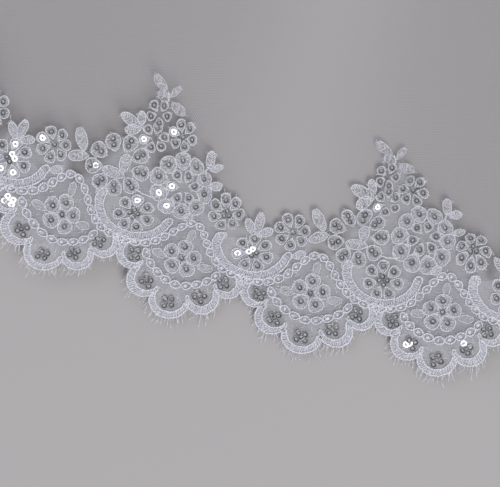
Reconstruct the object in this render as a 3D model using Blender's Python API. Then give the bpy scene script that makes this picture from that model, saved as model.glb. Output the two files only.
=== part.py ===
"""A single-tier bridal veil, laid out like a fan on a table.

The pieces are a tulle panel gathered onto a hair comb, a corded lace edging in three lengths that runs
down one side, round the hem and up the other, and the comb itself. +Z is up, the comb lies towards +Y,
the hem towards -Y, and the cloth rests on the plane z = 0.

The lace is laid out in its own chart before it is bent round the veil: `along` is the distance along the
hem from its middle, and `across` is the distance from the crescent line, positive towards the comb.
"""

import math

import bmesh
import bpy
import mathutils

MM = 0.001

# The plan of the veil. Radii and lengths are in metres, angles in degrees from the middle of the hem.
HEM_RADIUS = 0.584
CORNER_RADIUS = 0.150
SIDE_ANGLE = 72.0
COMB_LINE = -0.028
GATHER_HALF_WIDTH = 0.045

# The lace edging: its scallops, and how far it reaches on each side of the crescent line.
SCALLOP_PITCH = 0.0605
SCALLOPS_EACH_WAY = 16
HEM_SCALLOPS_EACH_WAY = 8
CRESCENT_REACH = 0.017
LACE_DROP = 0.041
LACE_RISE = 0.066

# Wall thicknesses, and the gaps that pieces keep to each other.
TULLE_WALL = 0.0015
LACE_WALL = 0.0012
SEAM_GAP = 0.0003
LACE_LIFT = 0.0005
RIDGE_EASE = 0.16

# The comb: a flat plate with tapered teeth.
COMB_WIDTH = 0.094
COMB_SPINE = 0.007
COMB_THICKNESS = 0.002
TOOTH_COUNT = 19
TOOTH_LENGTH = 0.036
TOOTH_ROOT_WIDTH = 0.0030
TOOTH_TIP_WIDTH = 0.0016
COMB_EASE = 0.003
COMB_SLOPE = 0.022

COMB_TOP = COMB_LINE + COMB_SPINE / 2 + TOOTH_LENGTH
FAN_Y = (HEM_RADIUS + LACE_DROP - COMB_TOP) / 2

# Rows of the panel's net, as shares of the way from the comb to the hem.
PANEL_ROWS = (0.0, 0.010, 0.026, 0.060, 0.12, 0.20, 0.30, 0.42, 0.55, 0.68, 0.81, 0.91, 1.0)
PANEL_STEPS_PER_SCALLOP = 3

# Folds that run from the comb towards the hem: (angle, half_width, drift) in degrees, (height) in
# millimetres, and (crest, end) in millimetres from the middle of the fan. The wide ones reach the hem.
FOLDS = (
    (-62.0, 3.4, 1.0, 4.5, 110, 230),
    (-52.0, 7.6, -1.5, 8.0, 190, 900),
    (-43.5, 3.6, 1.0, 5.5, 130, 330),
    (-37.5, 3.2, -1.0, 6.5, 150, 420),
    (-31.5, 3.0, 0.6, 5.0, 110, 270),
    (-24.8, 12.4, -1.0, 12.5, 250, 920),
    (-19.0, 2.9, 0.5, 5.0, 120, 300),
    (-11.6, 3.6, -0.6, 7.5, 150, 440),
    (-5.6, 3.0, 0.4, 5.0, 110, 260),
    (1.6, 12.0, 0.6, 13.0, 230, 920),
    (6.4, 2.8, -0.6, 5.0, 120, 330),
    (13.8, 3.8, 0.8, 7.0, 160, 470),
    (20.2, 2.9, -0.4, 5.5, 110, 280),
    (28.4, 12.2, 1.2, 12.0, 240, 920),
    (34.4, 2.9, -0.5, 4.5, 120, 290),
    (41.4, 3.8, 1.0, 7.0, 150, 430),
    (47.2, 3.2, -0.8, 5.0, 110, 260),
    (54.6, 7.4, 0.8, 8.5, 200, 900),
    (64.0, 3.2, 0.5, 4.0, 100, 210),
)
FOLD_FOOT = 0.16

# The folds ease out over SIDE_EASE round the lace of the sides, and are flat this far before it.
SIDE_EASE = 0.055
FLAT_BEFORE_END = 0.0275
FLAT_BEFORE_SPRIGS = 0.022

# The lobes of one scallop: (along, across, radius) in millimetres from the scallop's middle.
LOBES = (
    (-22.0, -18.0, 9.2),
    (-12.5, -26.3, 9.3),
    (0.0, -31.6, 9.4),
    (12.5, -26.3, 9.3),
    (22.0, -18.0, 9.2),
)
HALF_LOBE_STATIONS = (3.0, 6.4, 8.8, 13.0, 16.6, 20.0, 26.0)

# The flowers, leaves and sprigs that make the upper edge of one repeat of two scallops. Each is a circle
# (along, across, radius) in millimetres from the crescent that carries the three-leaf sprig.
UPPER_MOTIFS = (
    (-6.0, 11.0, 3.4),
    (-0.5, 14.0, 4.6),
    (4.6, 10.6, 3.2),
    (14.7, 14.3, 8.4),
    (26.5, 20.5, 5.2),
    (41.2, 39.5, 4.0),
    (45.5, 17.5, 14.4),
    (46.8, 42.4, 4.2),
    (48.6, 61.6, 4.2),
    (54.3, 51.0, 6.6),
    (59.0, 57.6, 4.0),
    (63.4, 52.2, 4.0),
    (69.5, 42.4, 7.2),
    (76.8, 20.0, 14.8),
    (87.1, 37.0, 4.2),
    (92.4, 32.6, 3.6),
    (101.5, 17.0, 8.4),
    (111.5, 7.5, 3.0),
)
MOTIF_STATIONS = (-0.86, 0.0, 0.86)
LEAST_RISE = 6.5

# Edge of the tulle under the lace, in millimetres across: at a scallop's middle, and how much further in
# it is at the crescents, with the power of its rise.
NET_DROP = -36.5
NET_CUSP = 19.5
NET_POWER = 2.2

# Gaps over 4 mm, cut through the lace: (along, across, half_length, half_width) in millimetres and
# (tilt) in degrees. Those of a scallop and of a crescent are measured from their own middles, and those
# of a repeat from the crescent that carries the three-leaf sprig.
SCALLOP_GAPS = (
    (-6.4, -4.2, 4.6, 2.5, 52.0),
    (6.4, -4.2, 4.6, 2.5, -52.0),
    (-12.2, -27.0, 4.6, 3.3, -38.0),
    (0.0, -31.4, 5.4, 3.7, 0.0),
    (12.2, -27.0, 4.6, 3.3, 38.0),
)
CRESCENT_GAPS = (
    (-11.6, -0.6, 4.4, 2.5, 108.0),
    (11.6, -0.6, 4.4, 2.5, 72.0),
)
REPEAT_GAP = (62.6, 30.0, 4.6, 2.6, 72.0)
GAP_CORNERS = 5
END_MARGIN = 7.0

# Colours and finishes.
TULLE_COLOUR = (0.80, 0.80, 0.84)
LACE_COLOUR = (0.84, 0.85, 0.90)
COMB_COLOUR = (0.88, 0.89, 0.90)
TULLE_ROUGHNESS = 0.6
LACE_ROUGHNESS = 0.7
COMB_ROUGHNESS = 0.2

# The straight side's crescent line passes the middle of the fan at SIDE_OFFSET, because the side's lobes
# point at the end of the gathers. The hem's arc ends at HEM_ANGLE, where the corner's arc takes over.
SIDE_SIN = math.sin(math.radians(SIDE_ANGLE))
SIDE_COS = math.cos(math.radians(SIDE_ANGLE))
SIDE_OFFSET = LACE_DROP - GATHER_HALF_WIDTH * SIDE_COS - COMB_LINE * SIDE_SIN
CORNER_CENTRE = HEM_RADIUS - CORNER_RADIUS
CORNER_SWING = math.asin((CORNER_RADIUS + SIDE_OFFSET) / CORNER_CENTRE)
HEM_ANGLE = math.radians(SIDE_ANGLE) - CORNER_SWING
HEM_HALF = HEM_RADIUS * HEM_ANGLE
CORNER_TURN = math.pi / 2 + CORNER_SWING
LACE_HALF = (SCALLOPS_EACH_WAY + 0.5) * SCALLOP_PITCH
PANEL_HALF = LACE_HALF + CRESCENT_REACH
STRAIGHT = PANEL_HALF - HEM_HALF - CORNER_TURN * CORNER_RADIUS
SIDE_LACE_END = CORNER_CENTRE * math.cos(CORNER_SWING) - STRAIGHT


def smooth(share):
    """0 to 1 with level ends: 3 t squared less 2 t cubed."""
    share = min(1.0, max(0.0, share))
    return share * share * (3 - 2 * share)


def chart_point(along, across):
    """Where a point of the lace's chart lies in plan, in metres.

    The crescent line is the hem's arc, then a corner's arc, then a straight side. A point lies `across`
    inwards along that line's normal, and the left half mirrors the right.
    """
    distance = abs(along)
    turn = min(distance, HEM_HALF) / HEM_RADIUS
    x = HEM_RADIUS * math.sin(turn)
    y = -HEM_RADIUS * math.cos(turn)
    if distance > HEM_HALF:
        corner = min((distance - HEM_HALF) / CORNER_RADIUS, CORNER_TURN)
        x = CORNER_CENTRE * math.sin(turn) + CORNER_RADIUS * math.sin(turn + corner)
        y = -CORNER_CENTRE * math.cos(turn) - CORNER_RADIUS * math.cos(turn + corner)
        straight = distance - HEM_HALF - corner * CORNER_RADIUS
        turn += corner
        x += straight * math.cos(turn)
        y += straight * math.sin(turn)
    x -= across * math.sin(turn)
    y += across * math.cos(turn)
    return math.copysign(x, along), y + FAN_Y


def side_lace_share(x, fan_y):
    """How far a point lies under the lace of a side: 1 on it, easing to 0 round it.

    `outward` and `across` are the point's places along the straight side and in from its crescent line.
    """
    outward = abs(x) * SIDE_SIN - fan_y * SIDE_COS
    across = -abs(x) * SIDE_COS - fan_y * SIDE_SIN - SIDE_OFFSET
    past_end = smooth((outward - SIDE_LACE_END + FLAT_BEFORE_END) / SIDE_EASE + 1)
    return past_end * (1 - smooth((across - LACE_RISE - FLAT_BEFORE_SPRIGS) / SIDE_EASE))


def fold_height(x, y):
    """Height of the tulle's underside over the table at a point in plan, in metres.

    Each fold is a ridge with a cosine-squared section. It rises from its foot at the comb to its crest
    and dies away to its end. The folds lie flat under the lace of the sides, and the whole panel steps
    up over the comb's spine.
    """
    fan_y = y - FAN_Y
    radius = math.hypot(x, fan_y)
    angle = math.degrees(math.atan2(x, -fan_y))
    height = 0.0
    for middle, half_width, drift, crest_height, crest, end in FOLDS:
        crest *= MM
        end *= MM
        middle += drift * (radius - crest) / crest
        offset = abs(angle - middle) / half_width
        if offset >= 1 or radius >= end:
            continue
        rise = FOLD_FOOT + (1 - FOLD_FOOT) * smooth(radius / crest)
        fade = 1 - smooth((radius - crest) / (end - crest))
        height += crest_height * MM * rise * fade * math.cos(math.pi / 2 * offset) ** 2
    height *= 1 - side_lace_share(x, fan_y)
    past_end = max(0.0, abs(x) - COMB_WIDTH / 2 - COMB_EASE)
    past_spine = max(0.0, abs(fan_y - COMB_LINE) - COMB_SPINE / 2 - COMB_EASE)
    step = 1 - smooth(math.hypot(past_end, past_spine) / COMB_SLOPE)
    return height + step * (COMB_THICKNESS + SEAM_GAP)


def lobe_edge(along):
    """Lower edge of the lace, in millimetres: the lowest of the circles of the lobes."""
    pitch = SCALLOP_PITCH / MM
    scallop = math.floor(along / pitch + 0.5)
    offset = along - scallop * pitch
    reach = [
        across - math.sqrt(radius**2 - (offset - middle) ** 2)
        for middle, across, radius in LOBES
        if abs(offset - middle) < radius
    ]
    return min(reach)


def sprig_edge(along):
    """Upper edge of the lace, in millimetres: the highest of the circles of the motifs."""
    repeat = 2 * SCALLOP_PITCH / MM
    offset = (along + repeat / 4) % repeat
    reach = [
        across + math.sqrt(radius**2 - (offset + shift - middle) ** 2)
        for middle, across, radius in UPPER_MOTIFS
        for shift in (-repeat, 0.0, repeat)
        if abs(offset + shift - middle) < radius
    ]
    return max(reach + [LEAST_RISE])


def sprig_stations(start, end):
    """Where the upper edge has its points between two places along the hem, in millimetres.

    Each circle has a point over its middle and one at each shoulder, unless a higher circle hides it.
    """
    repeat = 2 * SCALLOP_PITCH / MM
    stations = []
    for number in range(math.floor(start / repeat) - 1, math.ceil(end / repeat) + 2):
        for middle, across, radius in UPPER_MOTIFS:
            for share in MOTIF_STATIONS:
                station = (number - 0.25) * repeat + middle + share * radius
                own = across + radius * math.sqrt(1 - share**2)
                if start + 1 < station < end - 1 and sprig_edge(station) < own + 0.01:
                    stations.append(station)
    return sorted(stations)


def net_edge(along):
    """Edge of the tulle under the lace, in metres across: just inside each scallop's lobes."""
    offset = abs((along / SCALLOP_PITCH + 0.5) % 1.0 - 0.5) * 2
    return (NET_DROP + NET_CUSP * offset**NET_POWER) * MM


def new_object(name, data, colour, roughness, collection):
    """Links a mesh or curve to the veil's collection with a material of its own."""
    material = bpy.data.materials.new(name)
    material.use_nodes = True
    shader = material.node_tree.nodes["Principled BSDF"]
    shader.inputs["Base Color"].default_value = (*colour, 1.0)
    shader.inputs["Roughness"].default_value = roughness
    shader.inputs["Metallic"].default_value = 0.0
    data.materials.append(material)
    made = bpy.data.objects.new(name, data)
    collection.objects.link(made)
    return made


def raised(shape, height):
    """Gives a sheet of faces its wall: a copy of them moved straight up by `height`, joined at the rim."""
    copies = bmesh.ops.extrude_face_region(shape, geom=shape.faces[:])["geom"]
    upper = [item for item in copies if isinstance(item, bmesh.types.BMVert)]
    bmesh.ops.translate(shape, verts=upper, vec=(0, 0, height))
    bmesh.ops.recalc_face_normals(shape, faces=shape.faces)


def tulle_panel(collection):
    """The panel: a net of columns from the gathered edge to the scalloped edge, raised into folds.

    Columns part evenly along the comb and along the hem, so the cloth opens like a fan. The underside is
    the folded surface, and the upper side is that surface moved straight up by the wall.
    """
    columns = 2 * round(PANEL_HALF / SCALLOP_PITCH * PANEL_STEPS_PER_SCALLOP)
    rows = len(PANEL_ROWS) - 1
    shape = bmesh.new()
    bmesh.ops.create_grid(shape, x_segments=columns, y_segments=rows, size=1.0)
    for vertex in shape.verts:
        share = PANEL_ROWS[round((vertex.co.y + 1) / 2 * rows)]
        along = vertex.co.x * PANEL_HALF
        outer_x, outer_y = chart_point(along, net_edge(along))
        inner_x = GATHER_HALF_WIDTH * along / PANEL_HALF
        inner_y = COMB_LINE + FAN_Y
        x = inner_x + (outer_x - inner_x) * share
        y = inner_y + (outer_y - inner_y) * share
        vertex.co = (x, y, fold_height(x, y))
    raised(shape, TULLE_WALL)
    mesh = bpy.data.meshes.new("tulle_panel")
    shape.to_mesh(mesh)
    shape.free()
    mesh.shade_smooth()
    new_object("tulle_panel", mesh, TULLE_COLOUR, TULLE_ROUGHNESS, collection)


def gap_outline(along, across, half_length, half_width, tilt):
    """Corners of an oval gap in the chart, in millimetres."""
    turn = math.radians(tilt)
    corners = []
    for corner in range(GAP_CORNERS):
        angle = 2 * math.pi * (corner + 0.5) / GAP_CORNERS
        long_way = half_length * math.cos(angle)
        wide_way = half_width * math.sin(angle)
        corners.append(
            (
                along + long_way * math.cos(turn) - wide_way * math.sin(turn),
                across + long_way * math.sin(turn) + wide_way * math.cos(turn),
            )
        )
    return corners


def lace_outlines(first, last, start, end):
    """Outlines in the chart, in millimetres, of a length of lace from scallop `first` to scallop `last`.

    `start` and `end` are how far it reaches along the hem. The first outline is its edge: the lobes one
    way, then the sprigs back. The others are the gaps inside it.
    """
    pitch = SCALLOP_PITCH / MM
    mirrored = [-station for station in reversed(HALF_LOBE_STATIONS)]
    stations = [-pitch / 2, *mirrored, 0.0, *HALF_LOBE_STATIONS]
    lower = [
        (scallop * pitch + station, lobe_edge(scallop * pitch + station))
        for scallop in range(first, last + 1)
        for station in stations
    ]
    lower = [(start, lobe_edge(start))] + [point for point in lower if start + 1 < point[0] < end - 1]
    lower.append((end, lobe_edge(end)))
    back = [end] + sprig_stations(start, end)[::-1] + [start]
    upper = [(station, sprig_edge(station)) for station in back]
    gaps = []
    for scallop in range(first, last + 1):
        gaps += [(scallop * pitch + along, *rest) for along, *rest in SCALLOP_GAPS]
        if scallop < last:
            gaps += [((scallop + 0.5) * pitch + along, *rest) for along, *rest in CRESCENT_GAPS]
        if scallop % 2 == 0:
            along, *rest = REPEAT_GAP
            gaps.append(((scallop - 0.5) * pitch + along, *rest))
    room = [gap for gap in gaps if start + END_MARGIN < gap[0] < end - END_MARGIN]
    return [lower + upper] + [gap_outline(*gap) for gap in room]


def lace_length(name, first, last, start, end, collection):
    """One length of the edging: a filled outline with its gaps, laid over the tulle's folds.

    The fill is a Delaunay net between the outlines' points, so its triangles stay short enough to follow
    the folds. Cloth is what lies in the first outline and in no other.
    """
    points = []
    outlines = []
    for outline in lace_outlines(first, last, start, end):
        outlines.append(range(len(points), len(points) + len(outline)))
        points += [mathutils.Vector(chart_point(along * MM, across * MM)) for along, across in outline]
    net = mathutils.geometry.delaunay_2d_cdt(points, [], [list(outline) for outline in outlines], 1, 1e-7)
    corners, _, triangles, _, _, covered_by = net
    cloth = [triangle for triangle, owners in zip(triangles, covered_by) if list(owners) == [0]]
    shape = bmesh.new()
    for x, y in corners:
        ridge = fold_height(x, y) * (1 + RIDGE_EASE)
        shape.verts.new((x, y, ridge + TULLE_WALL + LACE_LIFT))
    shape.verts.ensure_lookup_table()
    for triangle in cloth:
        shape.faces.new([shape.verts[corner] for corner in triangle])
    raised(shape, LACE_WALL)
    mesh = bpy.data.meshes.new(name)
    shape.to_mesh(mesh)
    shape.free()
    new_object(name, mesh, LACE_COLOUR, LACE_ROUGHNESS, collection)


def lace_edging(collection):
    """The three lengths of lace, which meet at a crescent on each side of the hem."""
    seam = (HEM_SCALLOPS_EACH_WAY + 0.5) * SCALLOP_PITCH / MM
    end = PANEL_HALF / MM
    half_gap = SEAM_GAP / MM / 2
    hem = HEM_SCALLOPS_EACH_WAY
    last = SCALLOPS_EACH_WAY
    lace_length("lace_hem", -hem, hem, half_gap - seam, seam - half_gap, collection)
    lace_length("lace_left", -last, -hem - 1, -end, -seam - half_gap, collection)
    lace_length("lace_right", hem + 1, last, seam + half_gap, end, collection)


def comb_outline():
    """Corners of the comb in plan: the spine, then the teeth from left to right."""
    bottom = COMB_LINE - COMB_SPINE / 2
    root = COMB_LINE + COMB_SPINE / 2
    tip = root + TOOTH_LENGTH
    spacing = (COMB_WIDTH - TOOTH_ROOT_WIDTH) / (TOOTH_COUNT - 1)
    corners = [(COMB_WIDTH / 2, bottom), (-COMB_WIDTH / 2, bottom)]
    for tooth in range(TOOTH_COUNT):
        middle = -COMB_WIDTH / 2 + TOOTH_ROOT_WIDTH / 2 + tooth * spacing
        corners.append((middle - TOOTH_ROOT_WIDTH / 2, root))
        corners.append((middle - TOOTH_TIP_WIDTH / 2, tip))
        corners.append((middle + TOOTH_TIP_WIDTH / 2, tip))
        corners.append((middle + TOOTH_ROOT_WIDTH / 2, root))
    return corners


def hair_comb(collection):
    """The comb that the tulle is gathered onto, lying under the gathered edge."""
    curve = bpy.data.curves.new("comb", "CURVE")
    curve.dimensions = "2D"
    curve.fill_mode = "BOTH"
    curve.extrude = COMB_THICKNESS / 2
    corners = comb_outline()
    spline = curve.splines.new("POLY")
    spline.points.add(len(corners) - 1)
    spline.use_cyclic_u = True
    for point, (x, y) in zip(spline.points, corners):
        point.co = (x, y + FAN_Y, 0.0, 1.0)
    comb = new_object("comb", curve, COMB_COLOUR, COMB_ROUGHNESS, collection)
    comb.location.z = COMB_THICKNESS / 2


def main():
    for old in list(bpy.data.objects):
        bpy.data.objects.remove(old)
    veil = bpy.data.collections.new("bridal veil")
    bpy.context.scene.collection.children.link(veil)
    tulle_panel(veil)
    lace_edging(veil)
    hair_comb(veil)


main()
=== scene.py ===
import math
from collections import namedtuple

import bpy
import numpy as np
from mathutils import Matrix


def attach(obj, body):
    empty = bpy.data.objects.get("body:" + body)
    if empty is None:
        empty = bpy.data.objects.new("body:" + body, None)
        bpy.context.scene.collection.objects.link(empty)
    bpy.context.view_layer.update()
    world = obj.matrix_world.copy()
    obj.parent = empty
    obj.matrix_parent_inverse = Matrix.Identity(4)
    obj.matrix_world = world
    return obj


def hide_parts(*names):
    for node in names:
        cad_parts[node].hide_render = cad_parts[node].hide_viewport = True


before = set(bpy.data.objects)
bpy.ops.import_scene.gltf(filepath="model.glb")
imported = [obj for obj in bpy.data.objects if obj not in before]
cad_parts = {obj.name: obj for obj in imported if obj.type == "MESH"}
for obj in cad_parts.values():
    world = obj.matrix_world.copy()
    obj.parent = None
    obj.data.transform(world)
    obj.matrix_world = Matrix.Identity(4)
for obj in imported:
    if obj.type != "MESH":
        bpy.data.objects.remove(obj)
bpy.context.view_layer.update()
print("nodes:", sorted(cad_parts))

# %% [markdown]
# The lace is drawn in a chart, the way an embroiderer draws it: `along` the hem and `across` it, in
# millimetres, with 0 on the line of the crescents. The veil's plan is an arc, a round corner and a straight
# side, so one function bends the whole chart round it. The left half mirrors the right.
# %% Plan of the veil
MM = 0.001
HEM_RADIUS = 0.584
CORNER_RADIUS = 0.150
SIDE_ANGLE = math.radians(72.0)
COMB_LINE = -0.028
GATHER_HALF_WIDTH = 0.045
COMB_WIDTH = 0.094
COMB_SPINE = 0.007
TOOTH_LENGTH = 0.036
COMB_TOP = COMB_LINE + COMB_SPINE / 2 + TOOTH_LENGTH
LACE_DROP = 0.041
LACE_RISE = 0.066
FAN_Y = (HEM_RADIUS + LACE_DROP - COMB_TOP) / 2
SIDE_SIN = math.sin(SIDE_ANGLE)
SIDE_COS = math.cos(SIDE_ANGLE)
SIDE_OFFSET = LACE_DROP - GATHER_HALF_WIDTH * SIDE_COS - COMB_LINE * SIDE_SIN
CORNER_CENTRE = HEM_RADIUS - CORNER_RADIUS
CORNER_SWING = math.asin((CORNER_RADIUS + SIDE_OFFSET) / CORNER_CENTRE)
HEM_HALF = HEM_RADIUS * (SIDE_ANGLE - CORNER_SWING)
CORNER_TURN = math.pi / 2 + CORNER_SWING
REPEAT = 121.0
SCALLOP = REPEAT / 2
LACE_END = 1015.25
LACE_SEAM = 514.25
STRAIGHT = LACE_END * MM - HEM_HALF - CORNER_TURN * CORNER_RADIUS
SIDE_LACE_END = CORNER_CENTRE * math.cos(CORNER_SWING) - STRAIGHT


def bend(along, across):
    """Chart millimetres to plan metres: round the hem's arc, then the corner's, then along the side."""
    distance = np.abs(along) * MM
    inward = across * MM
    turn = np.minimum(distance, HEM_HALF) / HEM_RADIUS
    corner = np.clip((distance - HEM_HALF) / CORNER_RADIUS, 0, CORNER_TURN)
    straight = np.maximum(distance - HEM_HALF - CORNER_TURN * CORNER_RADIUS, 0)
    heading = turn + corner
    x = CORNER_CENTRE * np.sin(turn) + CORNER_RADIUS * np.sin(heading)
    y = -CORNER_CENTRE * np.cos(turn) - CORNER_RADIUS * np.cos(heading)
    x = x + straight * np.cos(heading) - inward * np.sin(heading)
    y = y + straight * np.sin(heading) + inward * np.cos(heading)
    return np.where(along < 0, -x, x), y + FAN_Y


# %% [markdown]
# Folds start at the gathers and open towards the hem. Each is a ridge with a cosine-squared section, so it
# meets the flat cloth without a crease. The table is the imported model's, which keeps the thin net on it.
# %% Folds of the net
# Columns: angle, half width and drift in degrees, then height, crest and end in millimetres.
FOLDS = (
    (-62.0, 3.4, 1.0, 4.5, 110, 230),
    (-52.0, 7.6, -1.5, 8.0, 190, 900),
    (-43.5, 3.6, 1.0, 5.5, 130, 330),
    (-37.5, 3.2, -1.0, 6.5, 150, 420),
    (-31.5, 3.0, 0.6, 5.0, 110, 270),
    (-24.8, 12.4, -1.0, 12.5, 250, 920),
    (-19.0, 2.9, 0.5, 5.0, 120, 300),
    (-11.6, 3.6, -0.6, 7.5, 150, 440),
    (-5.6, 3.0, 0.4, 5.0, 110, 260),
    (1.6, 12.0, 0.6, 13.0, 230, 920),
    (6.4, 2.8, -0.6, 5.0, 120, 330),
    (13.8, 3.8, 0.8, 7.0, 160, 470),
    (20.2, 2.9, -0.4, 5.5, 110, 280),
    (28.4, 12.2, 1.2, 12.0, 240, 920),
    (34.4, 2.9, -0.5, 4.5, 120, 290),
    (41.4, 3.8, 1.0, 7.0, 150, 430),
    (47.2, 3.2, -0.8, 5.0, 110, 260),
    (54.6, 7.4, 0.8, 8.5, 200, 900),
    (64.0, 3.2, 0.5, 4.0, 100, 210),
)
FOLD_FOOT = 0.16
SIDE_EASE = 0.055
FLAT_BEFORE_END = 0.0275
FLAT_BEFORE_SPRIGS = 0.022
COMB_EASE = 0.003
COMB_SLOPE = 0.022
COMB_STEP = 0.0023


def smooth(share):
    """0 to 1 with level ends: 3 t squared less 2 t cubed."""
    share = np.clip(share, 0, 1)
    return share * share * (3 - 2 * share)


def fold_height(x, y):
    """Height of the panel's underside in metres: the sum of the ridges, flat under the side lace, and a
    step over the comb's spine."""
    fan_y = y - FAN_Y
    radius = np.hypot(x, fan_y)
    angle = np.degrees(np.arctan2(x, -fan_y))
    height = np.zeros_like(x)
    for middle, half_width, drift, crest_height, crest, end in FOLDS:
        crest *= MM
        end *= MM
        offset = np.clip(np.abs(angle - middle - drift * (radius - crest) / crest) / half_width, 0, 1)
        rise = FOLD_FOOT + (1 - FOLD_FOOT) * smooth(radius / crest)
        fade = 1 - smooth((radius - crest) / (end - crest))
        height = height + crest_height * MM * rise * fade * np.cos(np.pi / 2 * offset) ** 2
    outward = np.abs(x) * SIDE_SIN - fan_y * SIDE_COS
    across = -np.abs(x) * SIDE_COS - fan_y * SIDE_SIN - SIDE_OFFSET
    under_lace = smooth((outward - SIDE_LACE_END + FLAT_BEFORE_END) / SIDE_EASE + 1)
    under_lace = under_lace * (1 - smooth((across - LACE_RISE - FLAT_BEFORE_SPRIGS) / SIDE_EASE))
    past_end = np.maximum(0, np.abs(x) - COMB_WIDTH / 2 - COMB_EASE)
    past_spine = np.maximum(0, np.abs(fan_y - COMB_LINE) - COMB_SPINE / 2 - COMB_EASE)
    step = 1 - smooth(np.hypot(past_end, past_spine) / COMB_SLOPE)
    return height * (1 - under_lace) + step * COMB_STEP


# %% [markdown]
# The camera looks straight down at one stretch of the edging, left of the hem's middle. A long lens keeps
# the view as flat as a scan. The picture's middle lies on the veil at a known distance from the fan's centre,
# and its upright runs a little askew of the line to that centre, which sets the camera's roll.
# %% Camera
VIEW_WIDTH = 0.2335
VIEW_RADIUS = 0.5813
VIEW_ANGLE = math.radians(-15.0)
VIEW_ROLL = math.radians(0.57)
CAMERA_HEIGHT = 1.25
SENSOR = 36.0

view_x = VIEW_RADIUS * math.sin(VIEW_ANGLE)
view_y = FAN_Y - VIEW_RADIUS * math.cos(VIEW_ANGLE)
camera_data = bpy.data.cameras.new("camera")
camera_data.sensor_width = SENSOR
camera_data.lens = SENSOR * CAMERA_HEIGHT / VIEW_WIDTH
camera = bpy.data.objects.new("camera", camera_data)
camera.location = (view_x, view_y, CAMERA_HEIGHT)
camera.rotation_euler = (0, 0, VIEW_ROLL)
bpy.context.scene.collection.objects.link(camera)
bpy.context.scene.camera = camera
print(f"camera: {camera_data.lens:.0f} mm lens, {CAMERA_HEIGHT} m up")

# %% [markdown]
# A finish is easier to read as a sum than as a wiring plan. `Wire` wraps one socket, so adding or multiplying
# wires adds the Math nodes, and `Finish.node` adds any other node from its settings and its sockets.
# %% Shader maths
class Wire:
    """One output socket of a finish, with the operators that the finishes use."""

    def __init__(self, finish, socket):
        self.finish = finish
        self.socket = socket

    def __add__(self, other):
        return self.finish.calculate("ADD", self, other)

    def __sub__(self, other):
        return self.finish.calculate("SUBTRACT", self, other)

    def __rsub__(self, other):
        return self.finish.calculate("SUBTRACT", other, self)

    def __mul__(self, other):
        return self.finish.calculate("MULTIPLY", self, other)

    def __abs__(self):
        return self.finish.calculate("ABSOLUTE", self)

    def __mod__(self, other):
        return self.finish.calculate("FLOORED_MODULO", self, other)

    def most(self, other):
        return self.finish.calculate("MAXIMUM", self, other)

    def least(self, other):
        return self.finish.calculate("MINIMUM", self, other)

    def ramp(self, low, high):
        """0 at `low`, 1 at `high`, smooth between."""
        settings = {"interpolation_type": "SMOOTHSTEP"}
        return self.finish.node("MapRange", settings, {"Value": self, "From Min": low, "From Max": high})

    __radd__ = __add__
    __rmul__ = __mul__


class Finish:
    """A material with its Principled shader. Its constants go straight onto the shader's sockets."""

    def __init__(self, name, **constants):
        self.material = bpy.data.materials.new(name)
        self.material.use_nodes = True
        self.tree = self.material.node_tree
        self.shader = self.tree.nodes["Principled BSDF"]
        for socket, value in constants.items():
            self.shader.inputs[socket.replace("_", " ")].default_value = value

    def node(self, kind, settings=None, sockets=None, output=0):
        """Adds a shader node: its settings first, then the values or wires of its sockets."""
        made = self.tree.nodes.new("ShaderNode" + kind)
        for key, value in (settings or {}).items():
            setattr(made, key, value)
        for key, value in (sockets or {}).items():
            if isinstance(value, Wire):
                self.tree.links.new(value.socket, made.inputs[key])
            else:
                made.inputs[key].default_value = value
        return Wire(self, made.outputs[output])

    def calculate(self, operation, *values):
        return self.node("Math", {"operation": operation}, dict(enumerate(values)))

    def feed(self, socket, wire):
        self.tree.links.new(wire.socket, self.shader.inputs[socket])

    def place(self):
        """Object coordinates, in metres."""
        return self.node("TexCoord", output=3)

    def chart(self):
        """The two values of the piece's own map, which holds millimetres along and across the thread."""
        mapped = self.node("UVMap", {"uv_map": "thread"})
        return [self.node("SeparateXYZ", sockets={0: mapped}, output=axis) for axis in (0, 1)]

    def noise(self, per_metre, detail=2.0):
        sockets = {"Vector": self.place(), "Scale": per_metre, "Detail": detail}
        return self.node("TexNoise", sockets=sockets)

    def wave(self, turns):
        """A sine of a wire in turns, 0 to 1."""
        return self.calculate("SINE", turns * (2 * math.pi)) * 0.5 + 0.5

    def blend(self, share, low, high):
        """A colour between two others, each three numbers or a wire."""
        low, high = [end if isinstance(end, Wire) else (*end, 1.0) for end in (low, high)]
        return self.node("Mix", {"data_type": "RGBA"}, {0: share, 6: low, 7: high}, output=2)

    def raised(self, height, strength, distance):
        """Bump from a height of 0 to 1, `distance` metres tall."""
        bump = self.node("Bump", sockets={"Strength": strength, "Distance": distance, "Height": height})
        self.feed("Normal", bump)


# %% [markdown]
# Tulle is a net of hexagons. A point belongs to the nearer of two staggered rows of cell middles, and its
# distance from that middle is the larger of two projections. A thread lies where that distance is nearly half
# a cell. The mask is 1 on the thread and 0 inside the cell, and each net's alpha adds a share of it to a base
# cover.
# %% Net finish
def hexagon_net(finish, cell, thread):
    """1 on the threads of a net of hexagons `cell` metres wide, with threads `thread` metres wide."""
    place = finish.place()
    sizes = (cell, cell * math.sqrt(3))
    x, y = [finish.node("SeparateXYZ", sockets={0: place}, output=axis) for axis in (0, 1)]

    def reach(shift):
        side = abs((x * (1 / sizes[0]) + shift) % 1.0 - 0.5) * sizes[0]
        up = abs((y * (1 / sizes[1]) + shift) % 1.0 - 0.5) * sizes[1]
        return side.most(side * 0.5 + up * (math.sqrt(3) / 2))

    return reach(0.0).least(reach(0.5)).ramp(cell / 2 - thread * 0.75, cell / 2 - thread * 0.25)


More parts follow.
